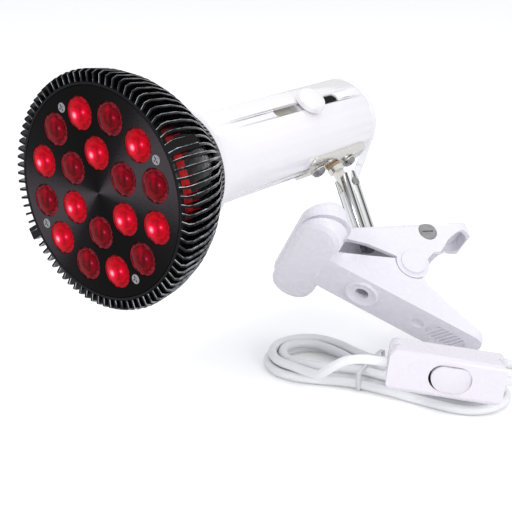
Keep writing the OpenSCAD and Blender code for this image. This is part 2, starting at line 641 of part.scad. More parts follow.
module arm_section() {
    translate([-half_w, -70]) square([arm_w, 67]);
    translate([-half_w + 3, -3.1]) square([arm_w - 6, 3.1]);
    for (s = [-1, 1]) translate([s * (half_w - 3), -3]) circle(r = 3);
}
module clamp_upper() color("white") in_clamp() difference() {
    union() {
        intersection() {
            union() {
                across(arm_w) polygon(upper_pts);
                translate([pivot_x, 0, pivot_z]) rotate([90, 0, 0])
                    cylinder(r = ear_r, h = arm_w, center = true);
            }
            translate([-60, 0, 0]) rotate([90, 0, 90]) linear_extrude(140) arm_section();
            translate([handle_tip - 55, 0, -60]) linear_extrude(61) rounded(110, arm_w, tip_corner);
        }
        intersection() {
            translate([mouth_x + 1.75, 0, 3]) mirror([0, 0, 1]) jaw_bar(20);
            closing_side(true);
        }
        translate([handle_x, -inner_w - eps, handle_z]) rotate([-90, 0, 0])
            cylinder(r = 3.2, h = 4);
    }
    difference() {
        translate([hollow_from, 0, -50]) linear_extrude(50 - top_t)
            translate([(handle_tip - arm_wall - hollow_from) / 2, 0])
                rounded(handle_tip - arm_wall - hollow_from, 2 * inner_w, tip_corner - arm_wall);
        translate([handle_x, -inner_w - eps, handle_z]) rotate([-90, 0, 0])
            cylinder(r = 3.2, h = 4);
    }
    translate([0, 0, -20]) cylinder(r = stud_r + snug, h = 30);
    translate([pivot_x, 0, pivot_z]) rotate([90, 0, 0])
        cylinder(r = pivot_r + 0.02, h = 2 * arm_w, center = true);
    translate([handle_x, -half_w - eps, handle_z]) rotate([-90, 0, 0])
        cylinder(r = handle_r, h = 1.3);
    translate([handle_x, -half_w, handle_z]) rotate([-90, 0, 0])
        cylinder(r = screw_r + 0.02, h = 6);
}

module lower_shape() polygon(lower_pts);
module pivot_zone(r) translate([lower_pivot.x, lower_pivot.y]) circle(r = r);
lower_pivot = let (d = turn_y([pivot_x - lower_x, 0, pivot_z - lower_z], -lower_angle))
    [d.x, d.z];
ear_reach = 17;
ring_x = 11.4;
module lower_wall(from, to) for (s = [-1, 1]) translate([0, -s * (from + to) / 2, 0])
    across(to - from) children();
module clamp_lower() color("white") difference() {
    union() {
        in_lower() difference() {
            intersection() {
                union() {
                    across(arm_w) intersection() {
                        lower_shape();
                        translate([-20, 0]) square([120, arm_wall]);
                    }
                    across(arm_w) intersection() {
                        lower_shape();
                        translate([lower_tip - arm_wall, 0]) square([arm_wall, 20]);
                    }
                    across(arm_w) intersection() {
                        lower_shape();
                        translate([-20, 0]) square([12, 20]);
                    }
                    lower_wall(inner_w, half_w) difference() {
                        lower_shape();
                        pivot_zone(ear_r + ear_gap);
                    }
                    lower_wall(inner_w - gap, inner_w + eps) difference() {
                        intersection() {
                            lower_shape();
                            pivot_zone(ear_reach);
                        }
                        pivot_zone(ear_r + ear_gap);
                    }
                    lower_wall(lower_ear_in, inner_w - gap + eps / 2) {
                        intersection() {
                            lower_shape();
                            pivot_zone(ear_reach);
                        }
                        pivot_zone(lower_ear_r);
                    }
                }
                linear_extrude(60) translate([lower_tip / 2 - 13, 0])
                    rounded(lower_tip + 26, arm_w, 6);
            }
            translate([ring_x, 0, -eps]) cylinder(r = 4, h = 9);
            translate([47.2, 0, -eps]) cylinder(r = 3.6, h = 1.6);
            translate([64.5, 0, -eps]) linear_extrude(0.9) difference() {
                stadium(24, 13);
                for (i = [-3:3]) rotate(25) translate([2.4 * i - 0.5, -10]) square([1, 20]);
            }
        }
        in_lower() translate([ring_x, 0, -1.2]) rotate_extrude() polygon([[6, 1.2 + eps], [8, 0.4],
            [8.6, 0], [9.4, 0], [10, 0.6], [10, 1.2 + eps]]);
        in_clamp() intersection() {
            translate([lower_x, 0, lower_z]) rotate([0, lower_angle, 0])
                translate([-25.25, 0, 0]) jaw_bar(20);
            closing_side(false);
        }
    }
    in_clamp() translate([pivot_x, 0, pivot_z]) rotate([90, 0, 0])
        cylinder(r = pivot_r + fit, h = 2 * arm_w, center = true);
}

module clamp_pivot() color("silver") in_clamp() translate([pivot_x, 0, pivot_z])
    rotate([90, 0, 0]) {
        translate([0, 0, -half_w - eps]) cylinder(r = pivot_r, h = arm_w + 0.8 + eps);
        translate([0, 0, -half_w - pivot_head_t]) cylinder(r = pivot_head_r, h = pivot_head_t);
    }
module pivot_cap() color("white") in_clamp() translate([pivot_x, 0, pivot_z])
    rotate([90, 0, 0]) difference() {
        translate([0, 0, half_w]) cylinder(r = pivot_head_r, h = pivot_head_t);
        cylinder(r = pivot_r + 0.02, h = half_w + 0.9);
    }
module handle_screw() color("gainsboro") in_clamp()
    translate([handle_x, -half_w + 1.3, handle_z]) rotate([-90, 0, 0]) difference() {
        union() {
            translate([0, 0, -1.1]) cylinder(r = handle_r - 0.5, h = 1.1 - eps);
            translate([0, 0, -eps]) cylinder(r = screw_r, h = 4);
        }
        translate([-3.5, -0.5, -1.2]) cube([7, 1, 0.7]);
    }

// The spring: one wire, from the upper handle round the pin to the lower handle
upper_leg = [45, -top_t - wire_r - snug];
lower_leg = [28.5, -64.4];
function leg_angle(e, side) = let (v = e - [pivot_x, pivot_z])
    atan2(v.y, v.x) + side * acos(coil_r / norm(v));
spring_from = leg_angle(upper_leg, 1);
spring_to = leg_angle(lower_leg, -1) + 360 * (spring_turns + 1);
spring_rings = 8 * spring_turns + 2;
spring_half = wire_step * (spring_to - spring_from) / 720;
function coil_point(k) = let (s = k / spring_rings, a = spring_from + (spring_to - spring_from) * s)
    [pivot_x + coil_r * cos(a), spring_half * (2 * s - 1), pivot_z + coil_r * sin(a)];
spring_pts = concat([[upper_leg.x, -spring_half, upper_leg.y]],
    [for (k = [0:spring_rings]) coil_point(k)], [[lower_leg.x, spring_half, lower_leg.y]]);
module clamp_spring() color("darkgray") in_clamp() swept(spring_pts, wire_r, 6, [0, 1, 0]);

module pad_shape() rotate([0, 0, 90]) stadium(jaw_len - 4, 2 * jaw_r - 4.5);
module jaw_pad_upper() color("gainsboro") in_mouth() translate([0.4, 0, jaw_gap])
    linear_extrude(pad_t) pad_shape();
module jaw_pad_lower() color("gainsboro") in_mouth() translate([0.4, 0, -jaw_gap - pad_t])
    linear_extrude(pad_t) pad_shape();

// The switch, x along it from its right end, y from its face to its back
module switch_form(from, to) intersection() {
    translate([-switch_len / 2, 0, switch_h / 2]) rotate([-90, 0, 0])
        linear_extrude(switch_t) rounded(switch_len, switch_h, switch_corner);
    translate([-switch_len, switch_t / 2, switch_h / 2]) rotate([0, 90, 0])
        linear_extrude(switch_len) rounded(switch_h, switch_t, 3);
    translate([-switch_len - 1, from, -1]) cube([switch_len + 2, to - from, switch_h + 2]);
}
rocker_x = -switch_len / 2 + 2;
rocker_z = switch_h / 2;
module switch_front() color("white") in_switch() difference() {
    switch_form(-1, switch_t / 2);
    translate([-switch_len + 4, 2, 4]) cube([switch_len - 8, switch_t, switch_h - 8]);
    translate([rocker_x, -1, rocker_z]) rotate([-90, 0, 0]) linear_extrude(8)
        stadium(rocker_len + 1.4, rocker_w + 0.8);
}
module switch_back() color("white") in_switch() difference() {
    switch_form(switch_t / 2, switch_t + 1);
    translate([-switch_len + 4, 0, 4]) cube([switch_len - 8, switch_t - 2, switch_h - 8]);
    for (x = [-6.5, 6.5 - switch_len]) translate([x, switch_t - 1.2, switch_h / 2])
        rotate([-90, 0, 0]) cylinder(r = 2.6, h = 3);
}
module switch_rocker() color("white") in_switch() translate([rocker_x, 0, rocker_z])
    translate([0, 8, 0]) rotate([0, 0, rocker_tilt]) translate([0, -8, 0]) intersection() {
        translate([0, -1.6, 0]) rotate([-90, 0, 0]) linear_extrude(7)
            stadium(rocker_len, rocker_w);
        translate([0, rocker_dome - 1.6, 0]) cylinder(r = rocker_dome, h = rocker_w + 2,
            center = true);
    }
module switch_contacts() color("goldenrod") in_switch() for (s = [-1, 1])
    translate([rocker_x + s * 17 - 4, switch_t - 8, rocker_z - 3]) cube([8, 6, 6]);

module plug_body() color("white") in_plug() {
    rotate_extrude() polygon([[0, 0], [sleeve_tip_r, 0], [sleeve_r, plug_sleeve],
        [0, plug_sleeve]]);
    translate([0, 0, plug_sleeve - eps]) linear_extrude(plug_len) rounded(13, 34, 6);
}
module plug_pins() color("silver") in_plug() for (s = [-1, 1]) translate([0, s * plug_pin_gap / 2,
    plug_sleeve + plug_len]) cylinder(r = plug_pin_d / 2, h = plug_pin_len);

module cord_lamp() color("whitesmoke") swept(smooth(lamp_route, 2), cord_r, sides);
module cord_link() color("whitesmoke") swept(smooth(link_route, 2), cord_r, sides);
module cord_plug() color("whitesmoke") swept(smooth(plug_route, 2), cord_r, sides);
module cord_hank() color("whitesmoke") swept(hank_pts, cord_r, hank_sides);

// The tie: a flat band round the waist, with room for the turns
tie_near = -(hank_radius(hank_mid + 36) - hank_pull + cord_r + gap);
tie_far = hank_radius(hank_mid + 48) - hank_pull + cord_r + gap;
tie_span = tie_far - tie_near;
tie_top = hank_lift + cord_d + hank_layer + gap - tie_lift;
module cord_tie() color("white") translate([hank_at.x, hank_at.y, floor_z + tie_lift])
    rotate([90, 0, hank_turn + 90]) translate([0, 0, -tie_w / 2]) linear_extrude(tie_w)
        difference() {
            translate([tie_near - tie_t, 0]) square([tie_span + 2 * tie_t, tie_top + tie_t]);
            translate([tie_near, tie_t]) square([tie_span, tie_top - tie_t]);
        }

// Least gap of a tube to itself, on points along its straight spans
function stepped(p, steps) = concat([for (i = [0:len(p) - 2]) each [for (k = [0:steps - 1])
    p[i] + (p[i + 1] - p[i]) * k / steps]], [p[len(p) - 1]]);
function far_from(p, i, skip, d) = min([for (j = [0:len(p) - 1]) if (abs(i - j) >= skip)
    norm(p[i] - p[j]) - d]);
function self_gap(p, skip, d) = min([for (i = [0:len(p) - 1]) far_from(p, i, skip, d)]);
echo(hank_gap = self_gap(stepped(hank_pts, 6), 48, cord_d));
echo(spring_gap = self_gap(stepped(spring_pts, 4), 24, wire_d));

face_plate();
face_screws();
lenses_lit();
lenses_clear();
lens_cups();
led_emitters();
led_board();
heat_sink();
bulb_neck();
driver_board();
screw_shell();
shell_insulator();
centre_contact();
socket_body();
socket_shell();
socket_contact();
socket_carriage();
slide_knob();
lamp_tube();
tube_cap();
cord_sleeve();
hinge_plate();
plate_screws();
plate_washers();
tongue_nut();
hinge_tongue();
knuckle_pin();
swivel_barrel();
barrel_washer();
swivel_stud();
stud_nut();
clamp_upper();
clamp_lower();
clamp_pivot();
pivot_cap();
clamp_spring();
handle_screw();
jaw_pad_upper();
jaw_pad_lower();
switch_front();
switch_back();
switch_rocker();
switch_contacts();
plug_body();
plug_pins();
cord_lamp();
cord_link();
cord_hank();
cord_tie();
cord_plug();
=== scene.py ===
import bpy
import bmesh
import json
import math
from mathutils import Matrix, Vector


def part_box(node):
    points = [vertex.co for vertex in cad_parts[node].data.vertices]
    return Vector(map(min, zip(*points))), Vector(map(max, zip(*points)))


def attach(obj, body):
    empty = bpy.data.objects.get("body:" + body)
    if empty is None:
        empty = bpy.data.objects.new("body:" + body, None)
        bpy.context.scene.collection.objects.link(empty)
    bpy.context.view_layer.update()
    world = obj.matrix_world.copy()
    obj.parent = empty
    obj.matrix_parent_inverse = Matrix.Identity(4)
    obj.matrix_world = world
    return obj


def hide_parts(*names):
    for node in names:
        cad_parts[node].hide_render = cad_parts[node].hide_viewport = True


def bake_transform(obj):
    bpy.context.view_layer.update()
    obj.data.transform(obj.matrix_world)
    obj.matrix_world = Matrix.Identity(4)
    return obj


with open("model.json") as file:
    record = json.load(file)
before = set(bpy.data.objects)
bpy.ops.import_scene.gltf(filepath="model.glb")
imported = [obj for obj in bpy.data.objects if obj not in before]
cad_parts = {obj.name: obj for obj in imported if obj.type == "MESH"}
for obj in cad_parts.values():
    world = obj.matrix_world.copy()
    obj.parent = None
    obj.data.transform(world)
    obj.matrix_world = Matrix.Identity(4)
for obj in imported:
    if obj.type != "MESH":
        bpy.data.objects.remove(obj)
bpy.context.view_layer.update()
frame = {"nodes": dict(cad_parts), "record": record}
nodes = frame["nodes"]

# ---------------------------------------------------------------- camera
AZIMUTH, ELEVATION = math.radians(38.75), math.radians(19.487)
EYE = Vector((0.373815, -0.514299, 0.223202))
LENS_MM, SENSOR_MM = 83.5, 36.0
NEAREST, FARTHEST = 0.01, 20
BACK = Vector((math.sin(AZIMUTH) * math.cos(ELEVATION),
               -math.cos(AZIMUTH) * math.cos(ELEVATION), math.sin(ELEVATION)))
cam_data = bpy.data.cameras.new("eye")
cam_data.lens, cam_data.sensor_width = LENS_MM, SENSOR_MM
cam_data.clip_start, cam_data.clip_end = NEAREST, FARTHEST
camera = bpy.data.objects.new("eye", cam_data)
bpy.context.scene.collection.objects.link(camera)
camera.location = EYE
camera.rotation_mode = "QUATERNION"
camera.rotation_quaternion = (-BACK).to_track_quat("-Z", "Y")
bpy.context.scene.camera = camera

# ------------------------------------------------- cord routes in mm, the same as in the solids
MM = 0.001
FLOOR = -64.5
CORD_R = 2.5
CORD_SIDES = 20
CORD_UV = 0.01          # UV run of the cord for each mm of its length
LAMP_EXIT = Vector((-48.2389, 108.068, 50.3989))
SWITCH_R = Vector((125.501, -1.26932, -41.1857))
SWITCH_L = Vector((75.5562, -33.7041, -33.8736))
SWITCH_AX = Vector((0.832419, 0.540579, -0.121869))
LAMP_ROUTE = [LAMP_EXIT, LAMP_EXIT + Vector((0, 5, 0))] + [Vector(p) for p in (
    (-48.3, 121, 50.2), (-48.9, 129.4, 46.8), (-50.5, 135.4, 40), (-53.2, 138, 31.4),
    (-55.8, 137.4, 22.2), (-57.2, 134, 13.5), (-56.5, 127, 3), (-51, 116, -11),
    (-41, 105.5, -26), (-26, 95, -40.5), (-8, 85.5, -52), (13, 77, -59.5), (35, 70, -61.7),
    (55, 64.5, -61.7), (75, 61, -61.7), (95, 60, -61.7), (113, 61.5, -61.5), (128, 61, -60),
    (141.5, 57, -56.5), (151.5, 47, -52.5), (155.5, 33, -49), (151.5, 19.5, -46))] + [
    SWITCH_R + 20 * SWITCH_AX, SWITCH_R + 10 * SWITCH_AX, SWITCH_R + 5 * SWITCH_AX, SWITCH_R]
HANK = {"at": (45.4, -3.5), "turn": 11, "left": 38, "right": 55, "sway": (1.5, 4.5),
        "inner": 13.5, "pull": 9, "lift": 0.9, "layer": 5.5, "mid": 36, "first": 3,
        "last": 87, "step": 6, "rings": 24}
# One turn of the hank has 24 steps. It starts at the waist, runs out to the left end, round it,
# back through the waist to the right end, round that and back to the waist.
LEFT_FROM, LEFT_TO, WAIST, RIGHT_FROM, RIGHT_TO = 3, 9, 12, 15, 21
RUN_STEPS = 3           # steps from the waist to the start of an end
END_STEP = 30           # degrees of each step round an end
CLIMB_STEPS = 12        # steps over which the hank changes its layer


def lobe(j):
    """Angle of the hank's edge from the middle of its nearer end, in degrees, at step j."""
    if j <= LEFT_FROM:
        return 90
    if j <= LEFT_TO:
        return 90 + END_STEP * (j - LEFT_FROM)
    if j <= RIGHT_FROM:
        return 270
    return 270 + END_STEP * (j - RIGHT_FROM) if j <= RIGHT_TO else 450


def run_share(j):
    """How far step j lies from the waist: -1 at the left end, 1 at the right end."""
    if j <= LEFT_FROM:
        return -j / RUN_STEPS
    if j <= LEFT_TO:
        return -1
    if j <= RIGHT_FROM:
        return (j - WAIST) / RUN_STEPS
    return 1 if j <= RIGHT_TO else (HANK["rings"] - j) / RUN_STEPS


def hank_point(i):
    h = HANK
    j = i % h["rings"]
    s, a = run_share(j), math.radians(lobe(j))
    r = h["inner"] + h["step"] * abs(i - h["mid"]) / h["rings"]
    drawn = h["pull"] * (1 + math.cos(math.pi * s)) / 2
    sway = h["sway"][0 if s < 0 else 1] * (1 - math.cos(math.pi * s)) / 2
    u = s * (h["left"] if s < 0 else h["right"]) + r * math.cos(a)
    v = (drawn - r) * math.sin(a) + sway
    t = math.radians(h["turn"])
    climb = min(1, max(0, (i - h["mid"] + CLIMB_STEPS / 2) / CLIMB_STEPS))
    z = FLOOR + h["lift"] + CORD_R + h["layer"] * (1 - climb)
    return Vector((h["at"][0] + u * math.cos(t) - v * math.sin(t),
                   h["at"][1] + u * math.sin(t) + v * math.cos(t), z))


HANK_PTS = [hank_point(i) for i in range(HANK["first"], HANK["last"] + 1)]
START_DIR = (HANK_PTS[1] - HANK_PTS[0]).normalized()
END_DIR = (HANK_PTS[-1] - HANK_PTS[-2]).normalized()
LINK_ROUTE = [SWITCH_L, SWITCH_L - 5 * SWITCH_AX] + [Vector(p) for p in (
    (64, -40.3, -33), (56, -42.8, -35.3), (48.5, -42.7, -40.5), (41, -40, -46.7),
    (33.5, -36, -52.3), (25, -32.5, -55))] + [HANK_PTS[0] - 5 * START_DIR, HANK_PTS[0]]
PLUG_ROUTE = [HANK_PTS[-1], HANK_PTS[-1] + 5 * END_DIR] + [Vector(p) for p in (
    (106, 42.2, -61.3), (118, 46.2, -61.7), (132, 48.3, -61.7), (146, 48.2, -61.4),
    (158, 47, -60), (170, 45.5, -58.5), (182, 44, -58), (190, 43, -58))]


def smooth(p, steps):
    """A Catmull-Rom curve through the points, with straight first and last legs."""
    out = []
    for i in range(len(p) - 1):
        for k in range(steps):
            t = k / steps
            if i in (0, len(p) - 2):
                out.append(p[i] + (p[i + 1] - p[i]) * t)
                continue
            a, b, c, d = p[i - 1], p[i], p[i + 1], p[i + 2]
            out.append(0.5 * (2 * b + t * (c - a) + t * t * (2 * a - 5 * b + 4 * c - d)
                              + t ** 3 * (3 * b - a - 3 * c + d)))
    return out + [p[-1]]


# ---------------------------------------------------------------- mesh helpers
def new_object(name, verts, faces, uvs=None):
    """A smooth-shaded mesh object in the scene; uvs has one place for each vertex."""
    mesh = bpy.data.meshes.new(name)
    mesh.from_pydata([tuple(v) for v in verts], [], faces)
    if uvs:
        layer = mesh.uv_layers.new(name="UVMap")
        for loop in mesh.loops:
            layer.data[loop.index].uv = uvs[loop.vertex_index]
    mesh.validate()
    mesh.update()
    for p in mesh.polygons:
        p.use_smooth = True
    obj = bpy.data.objects.new(name, mesh)
    bpy.context.scene.collection.objects.link(obj)
    return obj


def tube(name, pts, radius):
    """A closed round tube along points in mm, never twisted; its UV runs along it."""
    count, sides = len(pts), CORD_SIDES
    heading = [(pts[min(i + 1, count - 1)] - pts[max(i - 1, 0)]).normalized()
               for i in range(count)]
    up = Vector((0, 0, 1)) if abs(heading[0].z) < 0.9 else Vector((1, 0, 0))
    verts, faces, uvs, run = [], [], [], 0.0
    for i, (p, t) in enumerate(zip(pts, heading)):
        up = (up - up.dot(t) * t).normalized()
        side = t.cross(up)
        run += (p - pts[i - 1]).length if i else 0
        for k in range(sides):
            a = 2 * math.pi * k / sides
            verts.append((p + radius * (math.cos(a) * up + math.sin(a) * side)) * MM)
            uvs.append((k / sides, run * CORD_UV))
    for i in range(count - 1):
        for k in range(sides):
            a, b = i * sides + k, i * sides + (k + 1) % sides
            faces.append((a, b, b + sides, a + sides))
    faces.append(tuple(range(sides - 1, -1, -1)))
    faces.append(tuple(range((count - 1) * sides, count * sides)))
    return new_object(name, verts, faces, uvs)


# ---------------------------------------------------------------- materials
class Nodes:
    """A few shorthands for a node tree."""

    def __init__(self, name):
        self.mat = bpy.data.materials.new(name)
        self.mat.use_nodes = True
        self.tree = self.mat.node_tree
        self.bsdf = self.tree.nodes["Principled BSDF"]

    def add(self, kind, **values):
        node = self.tree.nodes.new(kind)
        for key, value in values.items():
            setattr(node, key, value)
        return node

    def link(self, a, b):
        self.tree.links.new(a, b)

    def to(self, out, name):
        self.link(out, self.bsdf.inputs[name])

    def set(self, **values):
        for key, value in values.items():
            self.bsdf.inputs[key.replace("_", " ")].default_value = value

    def math(self, op, a, b=None, c=None, clamp=False):
        node = self.add("ShaderNodeMath", operation=op, use_clamp=clamp)
        for socket, value in zip(node.inputs, (a, b, c)):
            if value is None:
                continue
            if isinstance(value, (int, float)):
                socket.default_value = value
            else:
                self.link(value, socket)
        return node.outputs[0]

    def where(self):
        return self.add("ShaderNodeTexCoord").outputs["Object"]

    def noise(self, scale, detail=3.0, rough=0.5, vector=None):
        node = self.add("ShaderNodeTexNoise")
        node.inputs["Scale"].default_value = scale
        node.inputs["Detail"].default_value = detail
        node.inputs["Roughness"].default_value = rough
        self.link(vector or self.where(), node.inputs["Vector"])
        return node.outputs["Fac"]

    def noise_along(self, value, scale, detail):
        """Noise in one dimension, over a value."""
        node = self.add("ShaderNodeTexNoise", noise_dimensions="1D")
        node.inputs["Scale"].default_value = scale
        node.inputs["Detail"].default_value = detail
        self.link(value, node.inputs["W"])
        return node.outputs["Fac"]

    def ramp(self, fac, *stops):
        node = self.add("ShaderNodeValToRGB")
        els = node.color_ramp.elements
        while len(els) < len(stops):
            els.new(0.5)
        for e, (at, col) in zip(els, stops):
            e.position = at
            e.color = (*col, 1)
        self.link(fac, node.inputs["Fac"])
        return node.outputs["Color"]

    def spread(self, fac, low, high):
        """Maps a 0.3 to 0.7 noise to low..high."""
        node = self.add("ShaderNodeMapRange")
        node.inputs["From Min"].default_value = 0.3
        node.inputs["From Max"].default_value = 0.7
        node.inputs["To Min"].default_value = low
        node.inputs["To Max"].default_value = high
        self.link(fac, node.inputs["Value"])
        return node.outputs["Result"]

    def plus(self, a, b):
        """The sum of two colours."""
        node = self.add("ShaderNodeMixRGB", blend_type="ADD")
        node.inputs[0].default_value = 1.0
        self.link(a, node.inputs[1])
        self.link(b, node.inputs[2])
        return node.outputs[0]

    def bump(self, height, distance, strength, normal=None):
        node = self.add("ShaderNodeBump")
        node.inputs["Strength"].default_value = strength
        node.inputs["Distance"].default_value = distance
        self.link(height, node.inputs["Height"])
        if normal:
            self.link(normal, node.inputs["Normal"])
        self.link(node.outputs["Normal"], self.bsdf.inputs["Normal"])
        return node.outputs["Normal"]


def plastic(name, col, tint, rough, coat=0.0, grain=0.00003, grain_scale=900, bump=0.15):
    """Moulded plastic: faint cloudiness of colour, uneven gloss and a fine skin."""
    n = Nodes(name)
    broad = n.noise(28, 3, 0.55)
    n.to(n.ramp(broad, (0.2, tint), (0.8, col)), "Base Color")
    n.to(n.spread(n.noise(160, 4, 0.6), rough * 0.9, rough * 1.1), "Roughness")
    n.set(Coat_Weight=coat, Coat_Roughness=0.08, IOR=1.47)
    n.bump(n.noise(grain_scale, 2, 0.5), grain, bump)
    return n.mat


def metal(name, col, rough, scale=(60, 60, 60)):
    """Bare metal with streaks, which are drawn out where the three scales differ."""
    n = Nodes(name)
    mapping = n.add("ShaderNodeMapping")
    mapping.inputs["Scale"].default_value = scale
    n.link(n.where(), mapping.inputs["Vector"])
    streak = n.noise(6, 4, 0.6, mapping.outputs["Vector"])
    dark = tuple(c * 0.88 for c in col)
    n.to(n.ramp(streak, (0.3, dark), (0.7, col)), "Base Color")
    n.to(n.spread(streak, rough * 0.7, rough * 1.35), "Roughness")
    n.set(Metallic=1.0)
    n.bump(streak, 0.00002, 0.1)
    return n.mat


TUBE_AXIS = Vector((-0.040239, 0, 0.056399))    # a point of the axis of bulb and tube
BARREL_LINE = (Vector((0.0123, 0.0371, 0.0039)), Vector((-0.0095, 0.0516, 0.0256)))
FACE_Y = -0.122932                              # front of the face plate
FINS = 84
TURN = 2 * math.pi
BELL_DEPTH, FIN_R = 58, 61.5                    # mm
FIN_OUTLINE = ((0, 60.3), (3, 61.5), (14, 60), (24, 56.5), (32, 52), (40, 46), (53, 35.5),
               (58, 33))                        # mm behind the face, radius in mm
FIN_EDGE = 0.0007                               # depth of the painted highlight on the outer edge of a fin, and half the width of the painted red glow at the gap bottoms
FIN_FRONT, FIN_FRONT_R = 0.0003, 0.0556         # depth and least radius of the painted highlight at its front end
FIN_HIGHLIGHT_LINE = (0.585, 0.66)                        # the painted highlight line, as a share of the pitch
GAP_R = 0.0566                                  # bottom of the gaps between the fins
GLOW_BACK = (0.0018, 0.0115)                    # where the painted red glow shows, behind the face
GLOW_ANGLE, GLOW_SPREAD = 0.34, 0.40            # radians, middle and reach of the painted red glow
SHEEN_FAN_ANGLE = 0.42                                # radians, middle of the painted sheen's light fans on the plate


def radius_nodes(n):
    """Distance from the axis of the bulb, its angle and the way back from the face, in metres."""
    sep = n.add("ShaderNodeSeparateXYZ")
    n.link(n.where(), sep.inputs[0])
    x = n.math("SUBTRACT", sep.outputs["X"], TUBE_AXIS.x)
    z = n.math("SUBTRACT", sep.outputs["Z"], TUBE_AXIS.z)
    r = n.math("SQRT", n.math("ADD", n.math("MULTIPLY", x, x), n.math("MULTIPLY", z, z)))
    return r, n.math("ARCTAN2", z, x), n.math("SUBTRACT", sep.outputs["Y"], FACE_Y)


def between(n, value, low, high):
    return n.math("MULTIPLY", n.math("GREATER_THAN", value, low),
                  n.math("LESS_THAN", value, high))


def plate_material():
    """Dark paint over a turned plate: fine rings, and a painted sheen in its colour that fans out
    from the middle.
    """
    n = Nodes("plate_grey")
    r, angle, _ = radius_nodes(n)
    rings = n.noise_along(r, 2600, 3)
    speck = n.noise(1400, 2, 0.6)
    # painted sheen: light and dark fans lie opposite each other about the middle, with random
    # specks
    painted_sheen = n.math("COSINE", n.math("MULTIPLY", n.math("ADD", angle, -SHEEN_FAN_ANGLE), 2.0))
    painted_sheen = n.math("POWER", n.math("MULTIPLY_ADD", painted_sheen, 0.5, 0.5), 1.6)
    sheen_and_speck = n.math("ADD", painted_sheen, n.spread(speck, -0.12, 0.12))
    n.to(n.ramp(sheen_and_speck, (0.0, (0.0012, 0.001, 0.001)), (0.5, (0.006, 0.005, 0.0055)),
                (1.0, (0.045, 0.038, 0.042))), "Base Color")
    n.to(n.spread(speck, 0.42, 0.55), "Roughness")
    tangent = n.add("ShaderNodeTangent", direction_type="RADIAL", axis="Y")
    n.link(tangent.outputs[0], n.bsdf.inputs["Tangent"])
    n.set(Metallic=0.0, Anisotropic=0.7, Specular_IOR_Level=0.05)
    first = n.bump(rings, 0.00003, 0.35)
    n.bump(speck, 0.00002, 0.2, first)
    return n.mat


def sink_material():
    """Gloss black enamel with painted highlights on the fin edges, and a painted red glow in the
    gaps at one side.
    """
    n = Nodes("sink_black")
    r, angle, back = radius_nodes(n)
    gap_bottom = n.math("LESS_THAN", n.math("ABSOLUTE", n.math("SUBTRACT", r, GAP_R)), FIN_EDGE)
    from_middle = n.math("ABSOLUTE", n.math("ADD", angle, -GLOW_ANGLE))
    fade = n.math("SUBTRACT", 1.0, n.math("DIVIDE", from_middle, GLOW_SPREAD), clamp=True)
    blotch = n.spread(n.noise(260, 3, 0.6), 0.25, 1.1)
    # painted light: red emission at the gap bottoms near the face, strongest at one side
    glow = n.math("MULTIPLY", n.math("MULTIPLY", gap_bottom, between(n, back, *GLOW_BACK)),
                  n.math("MULTIPLY", n.math("POWER", fade, 0.5), blotch))
    # outline of the fins, as a grey that stands for the radius over FIN_R
    shape = n.ramp(n.math("DIVIDE", back, BELL_DEPTH * MM),
                   *[(z / BELL_DEPTH, (q / FIN_R,) * 3) for z, q in FIN_OUTLINE])
    outline = n.math("MULTIPLY", shape, FIN_R * MM)
    # painted highlight: each fin has a light line along one side of its outer edge and of its front
    # end
    pitch = n.math("FRACT", n.math("MULTIPLY_ADD", angle, FINS / TURN, 0.5))
    edge = n.math("GREATER_THAN", n.math("SUBTRACT", r, outline), -FIN_EDGE)
    front = n.math("MULTIPLY", n.math("LESS_THAN", back, FIN_FRONT),
                   n.math("GREATER_THAN", r, FIN_FRONT_R))
    line = n.math("MULTIPLY", between(n, pitch, *FIN_HIGHLIGHT_LINE), n.math("MAXIMUM", edge, front))
    # the painted highlight is made uneven by noise
    painted_highlight = n.math("MULTIPLY", line, n.spread(n.noise(150, 3, 0.6), 0.15, 1.0))
    n.to(n.ramp(painted_highlight, (0.0, (0.0022, 0.0022, 0.0026)), (0.35, (0.06, 0.06, 0.066)),
                (1.0, (0.62, 0.63, 0.66))), "Base Color")
    n.to(n.spread(n.noise(220, 4, 0.6), 0.16, 0.26), "Roughness")
    n.set(Coat_Weight=0.0, IOR=1.4, Specular_IOR_Level=0.16,
          Emission_Color=(1.0, 0.004, 0.015, 1))
    n.to(n.math("MULTIPLY", glow, 0.42), "Emission Strength")
    n.bump(n.noise(700, 2, 0.5), 0.00004, 0.25)
    return n.mat


def barrel_material():
    """Polished barrel with painted reflections: light and dark streaks along its axis, set by the
    angle round it.
    """
    n = Nodes("barrel_chrome")
    low_end, high_end = BARREL_LINE
    axis = (high_end - low_end).normalized()
    side = axis.cross(Vector((0, 0, 1))).normalized()
    other = axis.cross(side)
    shift = n.add("ShaderNodeVectorMath", operation="SUBTRACT")
    n.link(n.where(), shift.inputs[0])
    shift.inputs[1].default_value = low_end

    def along(direction):
        dot = n.add("ShaderNodeVectorMath", operation="DOT_PRODUCT")
        n.link(shift.outputs[0], dot.inputs[0])
        dot.inputs[1].default_value = direction
        return dot.outputs["Value"]

    angle = n.math("ARCTAN2", along(other), along(side))
    # painted reflections: light and dark bands of metal colour by the angle round the axis
    streak = n.noise_along(n.math("MULTIPLY_ADD", angle, 1 / TURN, 0.5), 17, 2)
    n.to(n.ramp(streak, (0.36, (0.045, 0.045, 0.047)), (0.43, (0.30, 0.30, 0.31)),
                (0.5, (0.62, 0.63, 0.63)), (0.62, (0.85, 0.86, 0.86))), "Base Color")
    n.to(n.spread(n.noise(200, 3, 0.5), 0.10, 0.18), "Roughness")
    n.set(Metallic=1.0)
    n.bump(n.noise(500, 2, 0.5), 0.00001, 0.05)
    return n.mat
